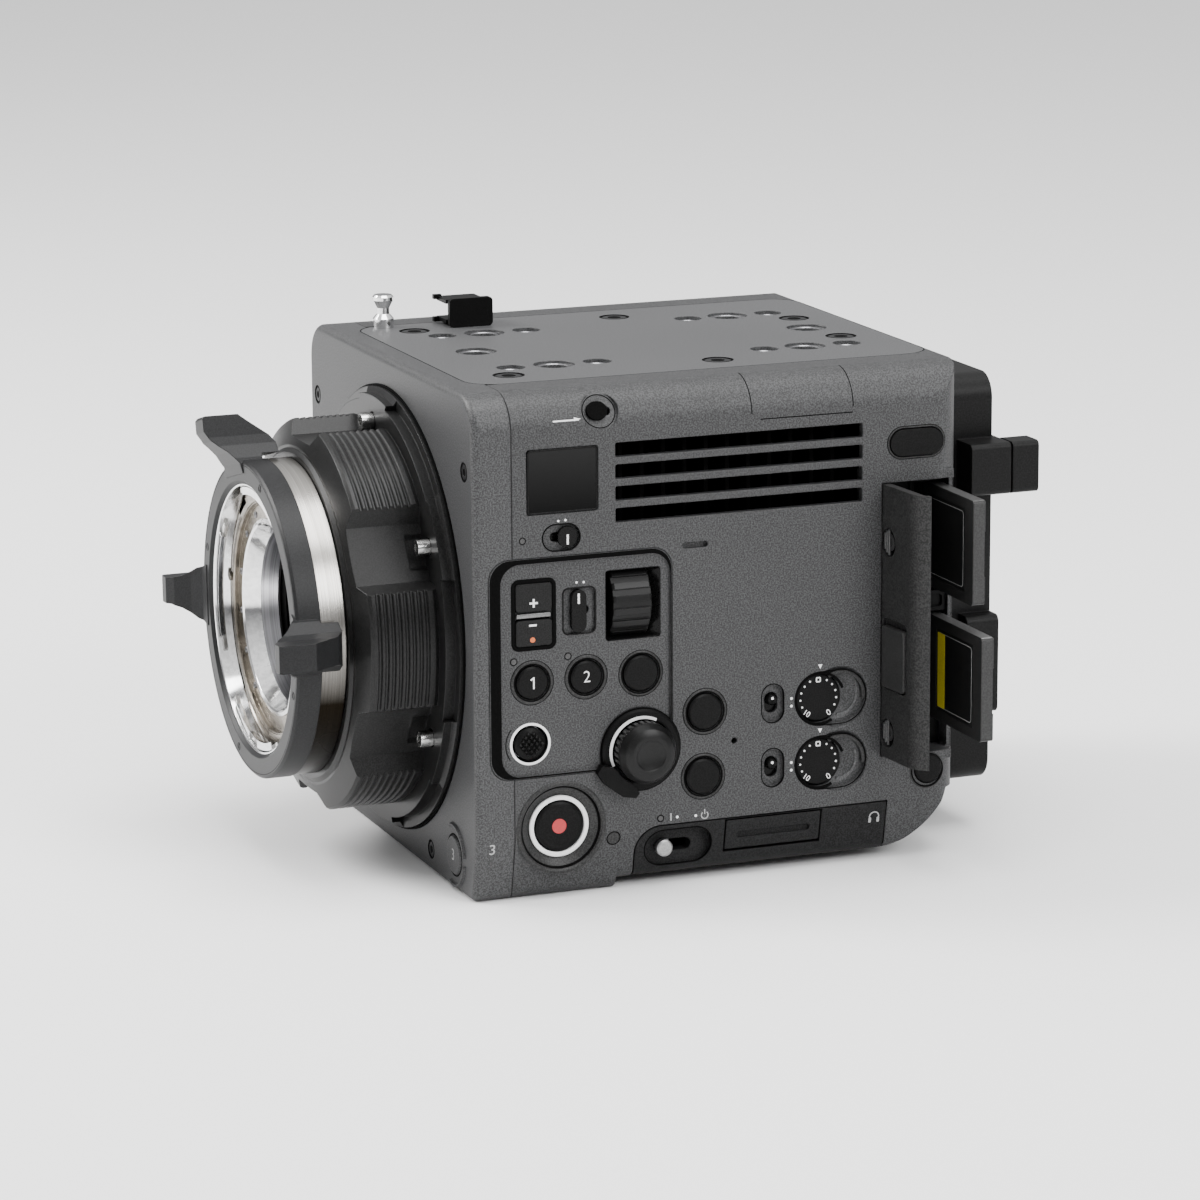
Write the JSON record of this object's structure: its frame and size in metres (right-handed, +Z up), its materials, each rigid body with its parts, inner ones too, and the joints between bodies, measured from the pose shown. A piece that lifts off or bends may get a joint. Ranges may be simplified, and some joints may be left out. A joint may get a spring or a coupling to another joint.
{
  "type": "digital cinema camera",
  "caption": "Box-shaped digital cinema camera body with positive-lock lens adapter, side control panel, open media door and top accessory threads.",
  "frame": {"origin": "mouth of the 3/8 inch tripod thread in the base, under the lens axis", "axes": "+Z up; the lens looks along -Y; +X is the operator side with the controls"},
  "size_m": [0.1718, 0.2275, 0.1522],
  "materials": {
    "body_paint": "fine textured matte",
    "black_plastic": "matte",
    "black_metal": "satin anodised",
    "steel": "turned",
    "chrome": "polished",
    "alloy": "satin",
    "rubber": "matte",
    "board": "matte",
    "sensor_glass": "gloss"
  },
  "bodies": {
    "camera": {"front_frame": "body_paint", "operator_panel": "body_paint", "control_panel": "body_paint", "bay_liner": "black_plastic", "lower_cover": "body_paint", "outer_side_panel": "body_paint", "top_plate": "body_paint", "base_plate": "body_paint", "cap_screws": "steel", "rear_housing": "black_plastic", "battery_plate": "black_plastic", "battery_contacts": "black_plastic", "chassis": "alloy", "sensor_carrier": "alloy", "image_sensor": "sensor_glass", "heat_sink": "alloy", "circuit_boards": "board", "card_sockets": "black_plastic", "side_sockets": "steel", "body_mount": "steel", "adapter_body": "black_metal", "lens_flange": "steel", "dial_collar": "black_metal", "tape_hook": "chrome", "cable_clamp": "black_metal"},
    "ring": {"lock_ring": "steel", "ring_cap": "black_metal"},
    "record_button": {"record_button": "black_plastic"},
    "button_1": {"button_1": "black_plastic"},
    "button_2": {"button_2": "black_plastic"},
    "display_button": {"display_button": "black_plastic"},
    "menu_button": {"menu_button": "black_plastic"},
    "back_button": {"back_button": "black_plastic"},
    "slot_button": {"slot_button": "black_plastic"},
    "clips_button": {"clips_button": "black_plastic"},
    "plus_button": {"plus_button": "black_plastic"},
    "minus_button": {"minus_button": "black_plastic"},
    "button_3": {"button_3": "black_plastic"},
    "focus_switch": {"focus_switch": "black_plastic"},
    "mode_switch": {"mode_switch": "black_plastic"},
    "auto_switch_1": {"auto_switch_1": "black_plastic"},
    "auto_switch_2": {"auto_switch_2": "black_plastic"},
    "power_switch": {"power_switch": "steel"},
    "lock_switch": {"lock_switch": "black_plastic"},
    "filter_dial": {"filter_dial": "rubber"},
    "dial_shaft": {"dial_shaft": "steel"},
    "menu_dial": {"menu_dial": "black_metal"},
    "level_dial_1": {"level_dial_1": "black_plastic"},
    "level_dial_2": {"level_dial_2": "black_plastic"},
    "stick_gimbal": {"stick_gimbal": "steel"},
    "stick_plate": {"stick_plate": "steel"},
    "joystick": {"joystick": "black_plastic"},
    "sd_door": {"sd_door": "black_plastic"},
    "media_door": {"media_door": "black_plastic"},
    "door_grip": {"door_grip": "black_plastic"},
    "media_card_1": {"media_card_1": "black_plastic"},
    "media_card_2": {"media_card_2": "black_plastic"},
    "release_button": {"release_button": "black_plastic"},
    "fan": {"fan": "black_plastic"},
    "filter_plate": {"filter_plate": "sensor_glass"}
  },
  "joints": [
    {"name": "ring_lock", "type": "hinge", "parent": "camera", "child": "ring", "pos_m": [0, -0.0952, 0.0702], "axis": [0, 1, 0], "range_deg": [0, 50]},
    {"name": "record_button_press", "type": "slide", "parent": "camera", "child": "record_button", "axis": [-1, 0, 0], "range_m": [0, 0.0006], "stiffness_N_per_m": 250, "springref_m": -0.0004},
    {"name": "button_1_press", "type": "slide", "parent": "camera", "child": "button_1", "axis": [-1, 0, 0], "range_m": [0, 0.0006], "stiffness_N_per_m": 250, "springref_m": -0.0004},
    {"name": "button_2_press", "type": "slide", "parent": "camera", "child": "button_2", "axis": [-1, 0, 0], "range_m": [0, 0.0006], "stiffness_N_per_m": 250, "springref_m": -0.0004},
    {"name": "display_button_press", "type": "slide", "parent": "camera", "child": "display_button", "axis": [-1, 0, 0], "range_m": [0, 0.0006], "stiffness_N_per_m": 250, "springref_m": -0.0004},
    {"name": "menu_button_press", "type": "slide", "parent": "camera", "child": "menu_button", "axis": [-1, 0, 0], "range_m": [0, 0.0006], "stiffness_N_per_m": 250, "springref_m": -0.0004},
    {"name": "back_button_press", "type": "slide", "parent": "camera", "child": "back_button", "axis": [-1, 0, 0], "range_m": [0, 0.0006], "stiffness_N_per_m": 250, "springref_m": -0.0004},
    {"name": "slot_button_press", "type": "slide", "parent": "camera", "child": "slot_button", "axis": [-1, 0, 0], "range_m": [0, 0.0006], "stiffness_N_per_m": 250, "springref_m": -0.0004},
    {"name": "clips_button_press", "type": "slide", "parent": "camera", "child": "clips_button", "axis": [-1, 0, 0], "range_m": [0, 0.0006], "stiffness_N_per_m": 250, "springref_m": -0.0004},
    {"name": "plus_button_press", "type": "slide", "parent": "camera", "child": "plus_button", "axis": [-1, 0, 0], "range_m": [0, 0.0006], "stiffness_N_per_m": 250, "springref_m": -0.0004},
    {"name": "minus_button_press", "type": "slide", "parent": "camera", "child": "minus_button", "axis": [-1, 0, 0], "range_m": [0, 0.0006], "stiffness_N_per_m": 250, "springref_m": -0.0004},
    {"name": "button_3_press", "type": "slide", "parent": "camera", "child": "button_3", "axis": [0, 1, 0], "range_m": [0, 0.0006], "stiffness_N_per_m": 250, "springref_m": -0.0004},
    {"name": "focus_switch_slide", "type": "slide", "parent": "camera", "child": "focus_switch", "axis": [0, -1, 0], "range_m": [0, 0.0035]},
    {"name": "mode_switch_slide", "type": "slide", "parent": "camera", "child": "mode_switch", "axis": [0, 1, 0], "range_m": [0, 0.0025]},
    {"name": "auto_switch_1_slide", "type": "slide", "parent": "camera", "child": "auto_switch_1", "axis": [0, 0, -1], "range_m": [0, 0.002]},
    {"name": "auto_switch_2_slide", "type": "slide", "parent": "camera", "child": "auto_switch_2", "axis": [0, 0, -1], "range_m": [0, 0.002]},
    {"name": "power_switch_slide", "type": "slide", "parent": "camera", "child": "power_switch", "axis": [0, 1, 0], "range_m": [0, 0.007]},
    {"name": "lock_switch_slide", "type": "slide", "parent": "camera", "child": "lock_switch", "axis": [0, 1, 0], "range_m": [0, 0.002]},
    {"name": "filter_dial_turn", "type": "hinge", "parent": "camera", "child": "filter_dial", "pos_m": [0.0609, -0.0139, 0.0819], "axis": [0, 1, 0], "continuous": true},
    {"name": "menu_dial_press", "type": "slide", "parent": "camera", "child": "dial_shaft", "axis": [-1, 0, 0], "range_m": [0, 0.0006], "stiffness_N_per_m": 400, "springref_m": -0.0004},
    {"name": "menu_dial_turn", "type": "hinge", "parent": "dial_shaft", "child": "menu_dial", "pos_m": [0.0717, -0.0114, 0.0403], "axis": [1, 0, 0], "continuous": true},
    {"name": "level_dial_1_turn", "type": "hinge", "parent": "camera", "child": "level_dial_1", "pos_m": [0.0717, 0.0429, 0.0496], "axis": [1, 0, 0], "range_deg": [-150, 150]},
    {"name": "level_dial_2_turn", "type": "hinge", "parent": "camera", "child": "level_dial_2", "pos_m": [0.0717, 0.0429, 0.031], "axis": [1, 0, 0], "range_deg": [-150, 150]},
    {"name": "stick_swing", "type": "hinge", "parent": "camera", "child": "stick_gimbal", "pos_m": [0.0655, -0.0439, 0.0449], "axis": [0, 0, 1], "range_deg": [-6, 6], "stiffness_Nm_per_rad": 0.01},
    {"name": "stick_tilt", "type": "hinge", "parent": "stick_gimbal", "child": "stick_plate", "pos_m": [0.0655, -0.0439, 0.0449], "axis": [0, 1, 0], "range_deg": [-6, 6], "stiffness_Nm_per_rad": 0.01},
    {"name": "stick_press", "type": "slide", "parent": "stick_plate", "child": "joystick", "axis": [-1, 0, 0], "range_m": [0, 0.0006], "stiffness_N_per_m": 250, "springref_m": -0.0004},
    {"name": "sd_door_hinge", "type": "hinge", "parent": "camera", "child": "sd_door", "pos_m": [0.06875, 0.02885, 0.0091], "axis": [0, 1, 0], "range_deg": [0, 90]},
    {"name": "media_door_hinge", "type": "hinge", "parent": "camera", "child": "media_door", "pos_m": [0.0706, 0.0629, 0.07035], "axis": [0, 0, 1], "range_deg": [0, 85]},
    {"name": "door_grip_slide", "type": "slide", "parent": "media_door", "child": "door_grip", "axis": [0, 0, 1], "range_m": [0, 0.0018], "stiffness_N_per_m": 150, "springref_m": -0.001},
    {"name": "media_card_1_slide", "type": "slide", "parent": "camera", "child": "media_card_1", "axis": [-1, 0, 0], "range_m": [0, 0.0338]},
    {"name": "media_card_2_slide", "type": "slide", "parent": "camera", "child": "media_card_2", "axis": [-1, 0, 0], "range_m": [0, 0.04]},
    {"name": "release_button_press", "type": "slide", "parent": "camera", "child": "release_button", "axis": [-1, 0, 0], "range_m": [0, 0.004], "stiffness_N_per_m": 400, "springref_m": -0.001},
    {"name": "fan_spin", "type": "hinge", "parent": "camera", "child": "fan", "pos_m": [-0.0637, 0.019, 0.112], "axis": [1, 0, 0], "continuous": true},
    {"name": "filter_plate_slide", "type": "slide", "parent": "camera", "child": "filter_plate", "axis": [0, 0, -1], "range_m": [0, 0.034]}
  ],
  "couplings": [
    {"joint": "media_card_1_slide", "follows": "media_door_hinge", "m_per_rad": 0.022781},
    {"joint": "media_card_2_slide", "follows": "media_door_hinge", "m_per_rad": 0.02696}
  ]
}
